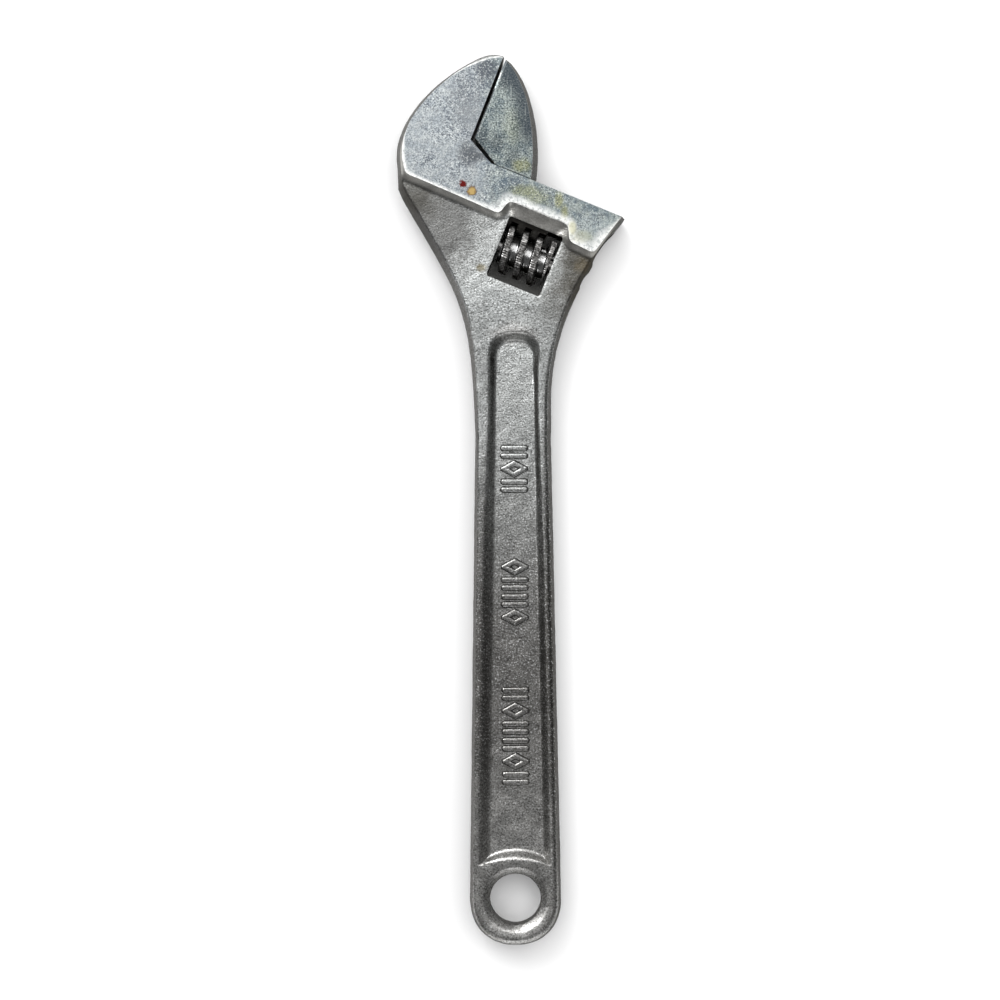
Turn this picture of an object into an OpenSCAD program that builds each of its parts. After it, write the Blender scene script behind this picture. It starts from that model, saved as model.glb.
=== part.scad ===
// Adjustable wrench, 300 mm (12 inch) class, in five separate pieces:
// the forged body with its fixed jaw, the movable jaw with its web and rack,
// the knurled adjusting screw, the pin that the screw turns on, and a small
// coil spring that takes up the screw's end play.
//
// Frame: origin at the centre of the hanging hole at mid-thickness, +Y up the
// handle to the head, +X towards the side that the jaw opens to, +Z out of
// the broad face.  The head has its own axes: u along the slide, in the
// direction in which the jaw opens, and v square to it, towards the jaw tips.

/* [Handle] */
// Half of the handle's width at the hanging hole
eye_r = 15.6; // [14:0.1:17]
// Radius of the hanging hole
hole_r = 8.7; // [7:0.1:9.5]
// Depth of the bevel around each mouth of the hole
hole_bevel = 2; // [0.5:0.1:2.5]
// Half of the handle's width where it meets the neck
waist_half_w = 12.95; // [12:0.05:14]
// Height of the waist above the hole
waist_y = 158; // [150:1:165]
// Thickness of the handle over its rails
handle_t = 11; // [10.5:0.1:13]
// Thickness of the sunk panel between the rails
panel_t = 5.8; // [5:0.1:8]

/* [Head] */
// Height above the hole at which the slide crosses the handle's centre line
head_y = 247.75; // [247.75:0.05:249.5]
// Angle between the direction of opening and the handle's cross direction
jaw_angle = 22.5; // [22:0.5:23]
// Thickness over the ground faces of the head
head_t = 17.6; // [17.2:0.1:19]
// Thickness of the forged neck
neck_t = 14.2; // [14:0.1:15]
// Gap between the jaws at rest
jaw_gap = 1.2; // [1.1:0.05:4]
// Lean of both jaw faces from square to the slide
face_lean = 0.7; // [0:0.1:2]

/* [Screw and rack] */
// Outer radius of the adjusting screw
screw_r = 8.5; // [8:0.1:8.6]
// Pitch of the screw's single right-hand thread and of the rack
pitch = 5.1; // [5:0.05:5.2]
// Length of the adjusting screw
screw_l = 17.4; // [17:0.1:18]
// Radius of the pin that the screw turns on
pin_r = 2.25; // [2:0.05:2.5]
// Radius of the round rack under the movable jaw
rack_r = 6.5; // [6:0.05:6.5]
// Length of the rack
rack_l = 37; // [36:0.5:38]

/* [Hidden] */
$fn = 96;
eps = 0.01;                     // overlap that lets two cuts meet cleanly

// Fits
run_fit = 0.05;                 // radial clearance of the screw on its pin
rack_fit = 0.1;                 // radial clearance of the rack in its bore
web_fit = 0.1;                  // side clearance of the web in its slot
slide_fit = 0.1;                // clearance of the jaw over the slide

// Places along u and v, from the point where the slide crosses the centre line
tip_u = 42.3;                   // outer end of the slide
facet_u = -7.6;                 // where the slide turns up into the facet
throat = [-17.1, 4.8];          // corner between the facet and the fixed jaw
face_top_v = 34.9;              // tip of the fixed jaw
boss_v = -14.5;                 // lower edge of the ground face
screw_u = 14.85;                // middle of the screw's window
screw_v = -24.3;                // axis of the screw
window = [19.5, 21.7];          // width and height of the screw's window
window_top_v = -14;             // upper edge of the window
notch_v = -9.5;                 // upper edge of the notch over the window
jaw_face_u = face_u(throat.y) + jaw_gap / cos(face_lean);   // movable jaw's face at the throat
jaw_tip_v = 34.9;               // tip of the movable jaw
jaw_foot_u = [-5.9, 8.9];       // inner and outer ends of the movable jaw's foot
jaw_corner_v = 5.9;             // lower end of the movable jaw's face
rack_v = -11.9;                 // axis of the rack
rack_u = -18;                   // inner end of the rack with the jaw at rest
bore_end_u = -20.5;             // blind end of the rack's bore
web_u = [-13.6, 8.1];           // ends of the web with the jaw at rest
web_t = 6;                      // thickness of the web
web_root = [1, 0.4];            // the web's step under the jaw: from its inner end, and into it
slot_end_u = -15.4;             // closed end of the web's slot
flank_u = 50;                   // past the head's right flank

// Hanging hole and panel
hole_rim_r = 11.9;              // outer edge of the bevel around the hole
panel_end_r = 14.6;             // the panel stops at this radius around the hole
panel_top_y = 184.5;             // where the panel's round end begins
eye_reach = 16.1;               // end of the handle below the hole's centre
eye_square = 0.9;               // 1 for an ellipse, less for squarer shoulders

// Screw thread
root_r = 5.3;                   // radius at the bottom of the thread
crest_w = 2;                    // width of the thread's crest
thread_phase = -1.57;           // crest facing +Z, along u from the screw's middle
groove_steps = 36;              // straight steps in one turn of the thread
helix_lean = atan(pitch / (2 * PI * (screw_r + root_r) / 2));

// Rack teeth
rack_gap_w = 2.5;               // width of the gaps between the teeth
rack_root_v = -15.2;            // bottom of those gaps

// Pin and spring
pin_end_u = -1.5;               // inner end of the pin
pin_head_u = 35.5;              // slotted end of the pin
pin_head_r = 2.9;               // radius of the threaded end of the pin
pin_head_l = 8;                 // length of the threaded end
driver_slot = [1, 1.2];         // width and depth of the screwdriver slot
spring_bore_r = 3.9;            // counterbore in the screw for the spring
spring_bore_l = 4;              // depth of that counterbore
spring_r = 3.1;                 // mean radius of the spring's coil
spring_wire_r = 0.45;           // radius of the spring's wire
spring_turns = 3;

// ---------------------------------------------------------------- functions

// A cubic curve from p0 to p3, pulled towards p1 and p2
function bezier(p0, p1, p2, p3, n = 16) =
    [for (i = [0:n]) let (t = i / n)
        pow(1 - t, 3) * p0 + 3 * t * pow(1 - t, 2) * p1 + 3 * t * t * (1 - t) * p2 + pow(t, 3) * p3];

// Points on an arc around c from angle a0 to angle a1
function arc(c, r, a0, a1, n = 12) =
    [for (i = [0:n]) let (a = a0 + (a1 - a0) * i / n) c + r * [cos(a), sin(a)]];

// Head axes to the wrench's own axes
function from_head(p) = [p.x * cos(jaw_angle) + p.y * sin(jaw_angle),
                         head_y - p.x * sin(jaw_angle) + p.y * cos(jaw_angle)];

// Point on the fixed jaw's face at a height v above the slide
function face_u(v) = throat.x - (v - throat.y) * tan(face_lean);

// Half of the panel's width at a height y
function panel_half_w(y) = 10.65 - 0.0155 * y;

module in_head() translate([0, head_y, 0]) rotate([0, 0, -jaw_angle]) children();

module along_u() rotate([0, 90, 0]) children();

module slab(points, t) translate([0, 0, -t / 2]) linear_extrude(t) polygon(points);

// ------------------------------------------------------------------- shapes

jaw_back = bezier([-4.0, 288.1], [-13.0, 290.7], [-42.1, 270.5], [-39.2, 251]);
left_neck = bezier([-waist_half_w, waist_y], [-14.3, 202.8], [-16.5, 202.9], [-37.6, 239.6]);
right_neck = bezier([waist_half_w, waist_y], [14, 168.6], [7.9, 193], [36.4, 228.4]);

function reversed(list) = [for (i = [len(list) - 1:-1:0]) list[i]];

function fixed_jaw_edge() = [from_head([facet_u, 0]), from_head(throat),
                             from_head([face_u(face_top_v), face_top_v])];

// Outline of the head and neck: up the right side, over the jaw, down the left
head_outline = concat(right_neck, [from_head([tip_u, 0])], fixed_jaw_edge(), jaw_back,
                      [[-38.9, 243]], reversed(left_neck));

// Outline of the thicker ground faces, with the notch over the screw's window
ground_outline = concat([from_head([tip_u, 0])], fixed_jaw_edge(), jaw_back, [
    from_head([-32, boss_v]), from_head([1.2, boss_v]), from_head([3, notch_v]),
    from_head([25, notch_v]), from_head([27.2, boss_v + 0.5]), from_head([38.2, boss_v])]);

eye_end = [for (i = [0:32]) let (a = 180 + 180 * i / 32)
    [eye_r * (a < 270 ? -1 : 1) * pow(abs(cos(a)), eye_square),
     -eye_reach * pow(abs(sin(a)), eye_square)]];

handle_outline = concat([[eye_r, 0], [waist_half_w, waist_y], [-waist_half_w, waist_y]],
                        eye_end);

panel_outline = concat(arc([0, panel_top_y], panel_half_w(panel_top_y), 0, 180),
                       [[-panel_half_w(0), 0], [panel_half_w(0), 0]]);

// Thickness along the length: rails, then a rise to the neck
side_outline = [[-20, -handle_t / 2], [170, -handle_t / 2], [205, -neck_t / 2], [300, -neck_t / 2],
                [300, neck_t / 2], [205, neck_t / 2], [170, handle_t / 2], [-20, handle_t / 2]];

module forging() {
    intersection() {
        union() {
            slab(head_outline, head_t);
            slab(handle_outline, head_t);
        }
        rotate([90, 0, 90]) linear_extrude(100, center = true) polygon(side_outline);
    }
    slab(ground_outline, head_t);
}

module panel() {
    difference() {
        slab(panel_outline, head_t);
        slab(panel_outline, panel_t);
        cylinder(h = head_t + 2, r = panel_end_r, center = true);
    }
}

module hanging_hole() {
    cylinder(h = handle_t + 2, r = hole_r, center = true);
    for (side = [0, 180])
        rotate([side, 0, 0]) translate([0, 0, handle_t / 2 - hole_bevel])
            cylinder(h = hole_bevel + eps, r1 = hole_r, r2 = hole_rim_r);
}

// Passages for the rack and the web, open at the slide and the right flank
module rack_passage() {
    translate([bore_end_u, rack_v, 0]) along_u() cylinder(h = flank_u - bore_end_u, r = rack_r + rack_fit);
    translate([slot_end_u, rack_v, -web_t / 2 - web_fit])
        cube([flank_u - slot_end_u, 20, web_t + 2 * web_fit]);
}

// Seats of the pin, on both sides of the screw's window
module pin_seat() {
    translate([pin_end_u, screw_v, 0]) along_u() cylinder(h = flank_u - pin_end_u, r = pin_r + run_fit);
    translate([pin_head_u - pin_head_l, screw_v, 0])
        along_u() cylinder(h = flank_u - pin_head_u + pin_head_l, r = pin_head_r + run_fit);
}

// One helical ridge of square section, along +Z, as a closed surface
module helix_bar(r_in, r_out, w, z0, turns) {
    rings = ceil(turns * groove_steps);
    points = [for (i = [0:rings]) let (a = 360 * i / groove_steps, z = z0 + pitch * i / groove_steps)
        each [for (q = [[r_in, -w / 2], [r_out, -w / 2], [r_out, w / 2], [r_in, w / 2]])
            [q[0] * cos(a), q[0] * sin(a), z + q[1]]]];
    sides = [for (i = [0:rings - 1]) for (k = [0:3]) let (m = 4 * i + k, n = 4 * i + (k + 1) % 4)
        each [[m, n, m + 4], [n, n + 4, m + 4]]];
    polyhedron(points, concat([[3, 2, 1, 0]], sides, [[for (k = [0:3]) 4 * rings + k]]));
}

// Straight gaps across the rack, leaned to match the screw's thread
module rack_gaps() {
    for (k = [-6:2])
        translate([screw_u + thread_phase + pitch * (k - 0.25), 0, 0])
            rotate([0, helix_lean, 0])
                translate([-rack_gap_w / 2, rack_v - rack_r - 1, -rack_r - 1])
                    cube([rack_gap_w, rack_root_v - rack_v + rack_r + 1, 2 * rack_r + 2]);
}

// --------------------------------------------------------------- sub-parts

// Drop-forged handle, neck and fixed jaw
module wrench_body() {
    color("darkgray") difference() {
        forging();
        panel();
        hanging_hole();
        in_head() {
            rack_passage();
            pin_seat();
            translate([screw_u - window[0] / 2, window_top_v - window[1], -head_t / 2 - 1])
                cube([window[0], window[1], head_t + 2]);
        }
    }
}

movable_back = bezier([jaw_foot_u[1], slide_fit], [5.9, 13], [-3.5, 29.5], [-14.2, jaw_tip_v], 20);
jaw_outline = concat([[jaw_foot_u[0], slide_fit]], movable_back,
                     [[jaw_face_u - (jaw_tip_v - throat.y) * tan(face_lean), jaw_tip_v],
                      [jaw_face_u - (jaw_corner_v - throat.y) * tan(face_lean), jaw_corner_v]]);

// Movable jaw: the jaw, the web below it and the round rack in one forging
module movable_jaw() {
    color("silver") in_head() difference() {
        union() {
            slab(jaw_outline, head_t);
            // The web stops at the slide where the jaw doesn't cover it
            translate([web_u[0], rack_v, -web_t / 2])
                cube([web_u[1] - web_u[0], -rack_v, web_t]);
            translate([jaw_foot_u[0] + web_root[0], rack_v, -web_t / 2])
                cube([web_u[1] - jaw_foot_u[0] - web_root[0], web_root[1] - rack_v, web_t]);
            translate([rack_u, rack_v, 0]) along_u() cylinder(h = rack_l, r = rack_r);
        }
        rack_gaps();
    }
}

// Knurled adjusting screw: one square thread around a plain core
module adjusting_screw() {
    color("dimgray") in_head() translate([screw_u, screw_v, 0]) along_u() difference() {
        translate([0, 0, -screw_l / 2]) cylinder(h = screw_l, r = screw_r);
        // The groove lies half a pitch from the crest, which faces +Z of the wrench
        rotate([0, 0, 180])
            helix_bar(root_r, screw_r + 1, pitch - crest_w,
                      thread_phase + pitch / 2 - 3 * pitch, 6);
        translate([0, 0, -screw_l / 2 - 1]) cylinder(h = screw_l + 2, r = pin_r + run_fit);
        translate([0, 0, screw_l / 2 - spring_bore_l]) cylinder(h = spring_bore_l + 1, r = spring_bore_r);
    }
}

// Plain pin with a threaded, slotted end in the right flank
module screw_pin() {
    color("gray") in_head() translate([0, screw_v, 0]) difference() {
        union() {
            translate([pin_end_u, 0, 0]) along_u() cylinder(h = pin_head_u - pin_end_u, r = pin_r);
            translate([pin_head_u - pin_head_l, 0, 0]) along_u() cylinder(h = pin_head_l, r = pin_head_r);
        }
        translate([pin_head_u - driver_slot[1], -pin_head_r - 1, -driver_slot[0] / 2])
            cube([driver_slot[1] + 1, 2 * pin_head_r + 2, driver_slot[0]]);
    }
}

// Friction spring between the screw's counterbore and the window's right wall
module screw_spring() {
    from_u = screw_u + screw_l / 2 - spring_bore_l + spring_wire_r + 0.05;
    to_u = screw_u + window[0] / 2 - spring_wire_r - 0.05;
    steps = 24;
    ring = 8;
    rings = spring_turns * steps;
    points = [for (i = [0:rings]) let (a = 360 * i / steps, u = from_u + (to_u - from_u) * i / rings)
        each [for (k = [0:ring - 1]) let (b = 360 * k / ring, r = spring_r + spring_wire_r * cos(b))
            [u + spring_wire_r * sin(b), r * cos(a), r * sin(a)]]];
    sides = [for (i = [0:rings - 1]) for (k = [0:ring - 1])
        let (m = ring * i + k, n = ring * i + (k + 1) % ring)
            each [[m, n, m + ring], [n, n + ring, m + ring]]];
    color("slategray") in_head() translate([0, screw_v, 0])
        polyhedron(points, concat([[for (k = [ring - 1:-1:0]) k]], sides,
                                  [[for (k = [0:ring - 1]) ring * rings + k]]));
}

wrench_body();
movable_jaw();
adjusting_screw();
screw_pin();
screw_spring();
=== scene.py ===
"""Adjustable wrench: detailed meshes, materials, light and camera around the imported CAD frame.

Shapes are written in millimetres, in the CAD frame: origin at the hanging hole, +Y up the handle,
+Z out of the broad face.  The head has its own axes: u along the slide, v towards the jaw tips.
Each piece is a field that is negative inside the metal, and one mesher turns fields into meshes.
"""
import math

import bpy
import numpy as np
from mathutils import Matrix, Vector


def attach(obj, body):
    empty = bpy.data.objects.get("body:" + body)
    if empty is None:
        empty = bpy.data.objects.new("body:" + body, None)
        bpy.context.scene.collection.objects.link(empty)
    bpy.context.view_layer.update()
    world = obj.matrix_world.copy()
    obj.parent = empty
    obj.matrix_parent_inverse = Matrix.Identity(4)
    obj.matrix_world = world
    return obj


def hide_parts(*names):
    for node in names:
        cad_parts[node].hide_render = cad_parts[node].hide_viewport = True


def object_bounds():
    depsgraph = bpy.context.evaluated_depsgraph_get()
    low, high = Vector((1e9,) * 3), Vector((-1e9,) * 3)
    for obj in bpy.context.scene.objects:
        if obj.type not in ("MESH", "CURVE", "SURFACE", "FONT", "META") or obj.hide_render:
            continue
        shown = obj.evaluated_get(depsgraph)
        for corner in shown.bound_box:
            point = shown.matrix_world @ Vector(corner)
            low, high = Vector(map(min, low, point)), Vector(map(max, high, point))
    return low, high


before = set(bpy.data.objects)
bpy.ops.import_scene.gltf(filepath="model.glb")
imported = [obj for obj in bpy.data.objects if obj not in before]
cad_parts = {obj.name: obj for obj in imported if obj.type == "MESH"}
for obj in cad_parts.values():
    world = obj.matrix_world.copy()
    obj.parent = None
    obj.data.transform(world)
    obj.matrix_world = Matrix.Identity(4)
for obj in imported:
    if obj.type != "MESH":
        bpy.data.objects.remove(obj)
cad_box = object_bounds()

MM = 0.001

# ---------------------------------------------------------------- dimensions, as in the CAD source
JAW_ANGLE = math.radians(22.5)
COS_A = math.cos(JAW_ANGLE)
SIN_A = math.sin(JAW_ANGLE)
HEAD_Y = 247.75          # where the slide crosses the handle's centre line

EYE_R = 15.6
EYE_REACH = 16.1
EYE_SQUARE = 0.9
HOLE_R = 8.7
HOLE_RIM_R = 11.9
WAIST_HALF_W = 12.95
WAIST_Y = 158.0
RAIL_Z = 5.5             # half thicknesses, from the parting plane
PANEL_Z = 2.9
NECK_Z = 7.1
GROUND_Z = 8.8

TIP_U = 42.3
FACET_U = -7.6
THROAT = (-17.1, 4.8)
FACE_LEAN = math.radians(0.7)
JAW_GAP = 1.2
BOSS_V = -14.6

SCREW_U = 14.85
SCREW_V = -24.3
SCREW_R = 8.5
SCREW_ROOT_R = 5.3
SCREW_L = 17.4
PITCH = 5.1
CREST_W = 2.0
KNURLS = 66              # straight grooves around the crests
KNURL_DEPTH = 0.16
THREAD_PHASE = -1.57     # crest that faces +Z, along u from the screw's middle
WINDOW_HALF_W = 9.75
WINDOW_TOP_V = -14.0
WINDOW_H = 21.7

RACK_V = -11.9
RACK_R = 6.5
RACK_U = (-18.0, 19.0)
RACK_FIT = 0.1
RACK_GAP_W = 2.5
RACK_ROOT_V = -15.2
BORE_END_U = -20.5
WEB_U = (-13.6, 8.1)
WEB_HALF_T = 3.0
WEB_FIT = 0.1
SLOT_END_U = -15.4
SLIDE_FIT = 0.1
JAW_FOOT_U = (-5.9, 8.9)
JAW_CORNER_V = 5.9
JAW_TIP_V = 34.9

PIN_R = 2.25
PIN_FIT = 0.05
PIN_U = (-1.5, 35.5)
PIN_HEAD_R = 2.9
PIN_HEAD_L = 8.0
SPRING_R = 3.1
SPRING_WIRE_R = 0.45
SPRING_TURNS = 3
SPRING_BORE_R = 3.9
SPRING_BORE_L = 4.0


# ---------------------------------------------------------------- small field tools
def to_head(x, y):
    """Wrench axes to head axes."""
    dy = y - HEAD_Y
    return COS_A * x - SIN_A * dy, SIN_A * x + COS_A * dy


def from_head(u, v):
    """Head axes to wrench axes."""
    return COS_A * u + SIN_A * v, HEAD_Y - SIN_A * u + COS_A * v


def ramp(value, start, end):
    """0 before start, 1 after end, with a smooth rise between."""
    t = np.clip((value - start) / (end - start), 0, 1)
    return t * t * (3 - 2 * t)


def round_max(a, b, r):
    """Larger of two fields, with their meeting edge rounded to radius r."""
    both = np.minimum(a, b) > -r
    rounded = np.hypot(np.maximum(a + r, 0), np.maximum(b + r, 0)) - r
    return np.where(both, rounded, np.maximum(a, b))


def round_min(a, b, r):
    """Smaller of two fields, with their meeting corner filled to radius r."""
    return -round_max(-a, -b, r)


def blend_max(a, b, reach):
    """Larger of two heights, with the corner between them filled where they differ by under reach."""
    near = np.maximum(reach - np.abs(a - b), 0) / reach
    return np.maximum(a, b) + near * near * reach / 4


def blend_min(a, b, reach):
    """Smaller of two heights, with the edge between them eased."""
    return -blend_max(-a, -b, reach)


class Bumps:
    """Smooth random heights between -1 and 1, the same on every run."""

    SIZE = 24

    def __init__(self, cell, seed):
        self.cell = cell
        self.values = np.random.default_rng(seed).uniform(-1, 1, (self.SIZE,) * 3)

    def __call__(self, x, y, z):
        total = 0
        whole, part = [], []
        for value in (x, y, z):
            value = np.asarray(value) / self.cell + 100
            start = np.floor(value)
            t = value - start
            whole.append(start.astype(int) % self.SIZE)
            part.append(t * t * (3 - 2 * t))
        for i in (0, 1):
            for j in (0, 1):
                for k in (0, 1):
                    weight = 1
                    for t, far in zip(part, (i, j, k)):
                        weight = weight * (t if far else 1 - t)
                    at = [(w + far) % self.SIZE for w, far in zip(whole, (i, j, k))]
                    total = total + weight * self.values[at[0], at[1], at[2]]
        return total


def bezier(p0, p1, p2, p3, n=24):
    """Points on a cubic curve, as in the CAD source."""
    t = np.linspace(0, 1, n + 1)[:, None]
    p0, p1, p2, p3 = (np.array(p, float) for p in (p0, p1, p2, p3))
    return (1 - t) ** 3 * p0 + 3 * t * (1 - t) ** 2 * p1 + 3 * t * t * (1 - t) * p2 + t ** 3 * p3


def rounded(corners, r, n=5):
    """A closed polygon with each corner cut by an arc-like curve of reach r."""
    out = []
    count = len(corners)
    for i in range(count):
        before, here, after = (np.array(corners[(i + k) % count], float) for k in (-1, 0, 1))
        reach = min(r, 0.45 * np.linalg.norm(before - here), 0.45 * np.linalg.norm(after - here))
        a = here + reach * (before - here) / np.linalg.norm(before - here)
        b = here + reach * (after - here) / np.linalg.norm(after - here)
        for t in np.linspace(0, 1, n):
            out.append((1 - t) ** 2 * a + 2 * t * (1 - t) * here + t * t * b)
    return np.array(out)


class Outline:
    """Signed distance to a closed polygon, negative inside, read from a fine flat grid."""

    STEP = 0.3

    def __init__(self, points, low, high):
        self.low = np.array(low, float)
        self.counts = [int((b - a) / self.STEP) + 2 for a, b in zip(low, high)]
        xs, ys = (self.low[k] + self.STEP * np.arange(self.counts[k]) for k in (0, 1))
        x, y = np.meshgrid(xs, ys, indexing="ij")
        nearest = np.full(x.shape, 1e9)
        inside = np.zeros(x.shape, bool)
        points = np.asarray(points, float)
        for (ax, ay), (bx, by) in zip(points, np.roll(points, -1, axis=0)):
            dx, dy = bx - ax, by - ay
            length2 = dx * dx + dy * dy
            if length2 < 1e-12:
                continue
            t = np.clip(((x - ax) * dx + (y - ay) * dy) / length2, 0, 1)
            nearest = np.minimum(nearest, (x - ax - t * dx) ** 2 + (y - ay - t * dy) ** 2)
            if ay != by:
                inside ^= ((ay > y) != (by > y)) & (x < dx * (y - ay) / dy + ax)
        self.grid = np.sqrt(nearest) * np.where(inside, -1, 1)

    def __call__(self, x, y):
        fx = np.clip((x - self.low[0]) / self.STEP, 0, self.counts[0] - 1.001)
        fy = np.clip((y - self.low[1]) / self.STEP, 0, self.counts[1] - 1.001)
        i, j = fx.astype(int), fy.astype(int)
        fx, fy = fx - i, fy - j
        g = self.grid
        return ((g[i, j] * (1 - fx) + g[i + 1, j] * fx) * (1 - fy)
                + (g[i, j + 1] * (1 - fx) + g[i + 1, j + 1] * fx) * fy)


# ---------------------------------------------------------------- mesher
def steps(start, end, size):
    """Evenly spaced grid lines from start to about end."""
    return np.arange(start, end + size, size)


def crossings(field, axes, cells):
    """Points where the grid's lines cross the surface, the quad around each, and the quad's cells."""
    value = field(*np.meshgrid(*axes, indexing="ij"))
    points, quads, owners = [], [], []
    for a in range(3):
        b, c = (a + 1) % 3, (a + 2) % 3
        low = [slice(None)] * 3
        high = [slice(None)] * 3
        low[a], high[a] = slice(0, -1), slice(1, None)
        f0, f1 = value[tuple(low)], value[tuple(high)]
        index = np.argwhere((f0 < 0) != (f1 < 0))
        start = np.stack([axes[k][index[:, k]] for k in range(3)], axis=1)
        length = axes[a][index[:, a] + 1] - axes[a][index[:, a]]
        v0 = f0[tuple(index.T)]
        v1 = f1[tuple(index.T)]
        lo, hi = np.zeros(len(index)), np.ones(len(index))
        # Four steps of bracketing along each crossed edge, then one straight cut
        for _ in range(4):
            t = lo + (hi - lo) * np.clip(v0 / (v0 - v1), 0.05, 0.95)
            p = start.copy()
            p[:, a] += t * length
            here = field(*p.T)
            same = (here < 0) == (v0 < 0)
            lo, v0 = np.where(same, t, lo), np.where(same, here, v0)
            hi, v1 = np.where(same, hi, t), np.where(same, v1, here)
        t = lo + (hi - lo) * v0 / np.where(v0 == v1, 1, v0 - v1)
        p = start.copy()
        p[:, a] += t * length
        around = []
        for db, dc in ((-1, -1), (0, -1), (0, 0), (-1, 0)):
            cell = index.copy()
            cell[:, b] += db
            cell[:, c] += dc
            around.append((cell[:, 0] * cells[1] + cell[:, 1]) * cells[2] + cell[:, 2])
        around = np.stack(around, axis=1)
        outward = f0[tuple(index.T)] < 0
        quads.append(np.where(outward[:, None], around, around[:, ::-1]))
        points.append(p)
        owners.append(around)
    return np.concatenate(points), np.concatenate(quads), np.concatenate(owners)


def surface_of(field, xs, ys, zs):
    """Vertices and quads of field = 0: one vertex in each crossed cell, drawn onto its creases."""
    axes = (xs, ys, zs)
    cells = [len(a) - 1 for a in axes]
    points, quads, owners = crossings(field, axes, cells)
    h = 0.01
    normal = np.stack([field(*(points + h * e).T) - field(*(points - h * e).T) for e in np.eye(3)], axis=1)
    normal /= np.maximum(np.linalg.norm(normal, axis=1, keepdims=True), 1e-9)
    used, slot = np.unique(owners, return_inverse=True)
    slot = slot.reshape(owners.shape)
    count = len(used)

    def gather(values):
        return sum(np.bincount(slot[:, k], values, count) for k in range(4))

    number = gather(np.ones(len(points)))
    middle = np.stack([gather(points[:, k]) for k in range(3)], axis=1) / number[:, None]
    squares = np.empty((count, 3, 3))
    for i in range(3):
        for j in range(3):
            squares[:, i, j] = gather(normal[:, i] * normal[:, j])
    reach = (normal * points).sum(1)
    right = np.stack([gather(normal[:, k] * reach) for k in range(3)], axis=1)
    right -= np.einsum("nij,nj->ni", squares, middle)
    hold = 0.03              # keeps a vertex near the middle of its cell's points where they leave it free
    squares += hold * np.eye(3)
    vertex = middle + np.linalg.solve(squares, right[:, :, None])[:, :, 0]
    cell = np.stack(np.unravel_index(used, cells), axis=1)
    for k in range(3):
        vertex[:, k] = np.clip(vertex[:, k], axes[k][cell[:, k]], axes[k][cell[:, k] + 1])
    return vertex, np.searchsorted(used, quads)


def add_piece(name, vertices, faces, node, body, crease=30):
    """A mesh object in metres that stands for a CAD node and rides on a body."""
    mesh = bpy.data.meshes.new(name)
    mesh.from_pydata(vertices * MM, [], faces)
    mesh.update()
    mesh.shade_smooth()
    mesh.set_sharp_from_angle(angle=math.radians(crease))
    piece = bpy.data.objects.new(name, mesh)
    bpy.context.scene.collection.objects.link(piece)
    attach(piece, body)
    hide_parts(node)
    return piece


def head_to_world(vertices):
    """Vertices given along u, v and z, in the wrench's axes."""
    x, y = from_head(vertices[:, 0], vertices[:, 1])
    return np.stack([x, y, vertices[:, 2]], axis=1)


# ---------------------------------------------------------------- wrench body
LOW, HIGH = (-45.0, -21.0), (50.0, 296.0)
jaw_back = bezier((-4.0, 288.1), (-13.0, 290.7), (-42.1, 270.5), (-39.2, 251.0))
left_neck = bezier((-WAIST_HALF_W, WAIST_Y), (-14.3, 202.8), (-16.5, 202.9), (-37.6, 239.6))
right_neck = bezier((WAIST_HALF_W, WAIST_Y), (14.0, 168.6), (7.9, 193.0), (36.4, 228.4))


def eye_end():
    """The handle's lower end: an ellipse with slightly squarer shoulders."""
    a = np.radians(np.linspace(180, 360, 49))
    across = np.sign(np.cos(a)) * np.abs(np.cos(a)) ** EYE_SQUARE
    down = -np.abs(np.sin(a)) ** EYE_SQUARE
    return np.stack([EYE_R * across, EYE_REACH * down], axis=1)


# The forging runs on past the throat, which is cut into it afterwards
forged_outline = Outline(np.concatenate([
    right_neck, [from_head(TIP_U, 0), from_head(TIP_U + 1, 6), from_head(-13, 36.6)],
    jaw_back, [(-38.9, 243.0)], left_neck[::-1], eye_end()]), LOW, HIGH)

ground_back = bezier((-3.4, 287.0), (-12.8, 287.3), (-42.2, 272.4), (-36.6, 249.6))
left_corner = rounded([
    (-36.9, 252.0), from_head(-33.6, BOSS_V + 0.6), from_head(-24, BOSS_V + 0.3)], 3.5)[5:10]
ground_tip = from_head(TIP_U - 1.8, 0)
notch = rounded([
    from_head(-10, BOSS_V), from_head(1.3, BOSS_V - 0.1), from_head(3.0, -9.45), from_head(24.6, -9.6),
    from_head(27.0, BOSS_V + 0.1), from_head(36.1, BOSS_V - 0.5), ground_tip], 1.6)[5:-5]
ground_outline = Outline(np.concatenate([
    [ground_tip, from_head(TIP_U + 1, 8), from_head(-8, 32)],
    ground_back, left_corner, notch]), LOW, HIGH)

PANEL_TOP_Y = 190.8
PANEL_ROUND = 6.0        # reach of the corners at the panel's upper end
panel_outline = Outline(rounded([(-5.65, PANEL_TOP_Y), (-9.6, -14.0), (10.3, -14.0), (6.95, PANEL_TOP_Y)],
                                PANEL_ROUND, 12), LOW, HIGH)


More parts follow.
